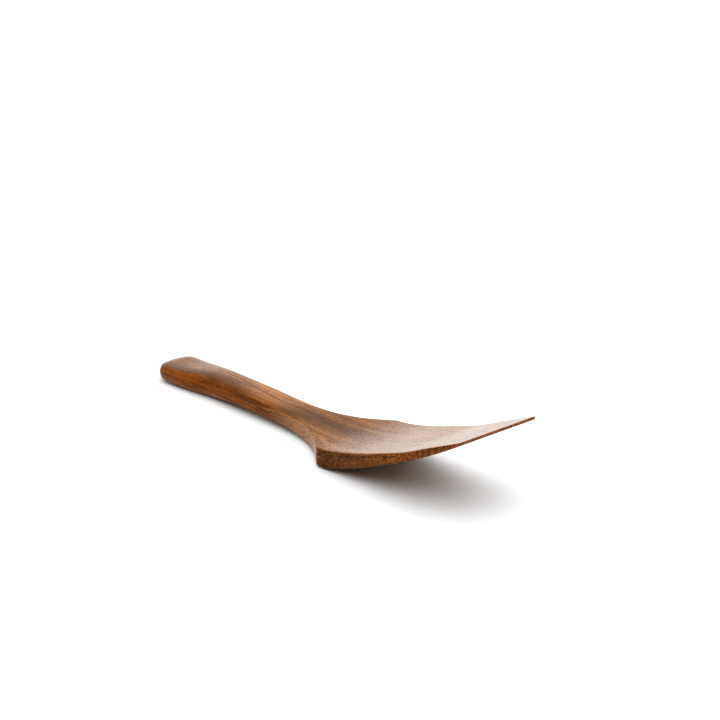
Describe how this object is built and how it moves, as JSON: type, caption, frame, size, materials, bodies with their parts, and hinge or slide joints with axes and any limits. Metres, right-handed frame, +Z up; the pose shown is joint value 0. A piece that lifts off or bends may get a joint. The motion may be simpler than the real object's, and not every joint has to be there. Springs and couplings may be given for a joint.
{
  "type": "spatula",
  "caption": "Small one-piece wooden spatula with a slim rounded handle, a narrow neck, square shoulders and an upswept blade that thins to a straight front edge.",
  "frame": {"origin": "bottom centre of the bounding box, at table level, midway along the spatula", "axes": "+X along the spatula from the butt of the handle to the front edge of the blade, +Y to its left side, +Z up"},
  "size_m": [0.2, 0.0436, 0.0338],
  "materials": {
    "wood": "brown hardwood with lengthwise darker streaks and fine pores, sanded smooth and oiled to a satin sheen"
  },
  "bodies": {
    "root": {"spatula_body": "wood"}
  },
  "joints": []
}
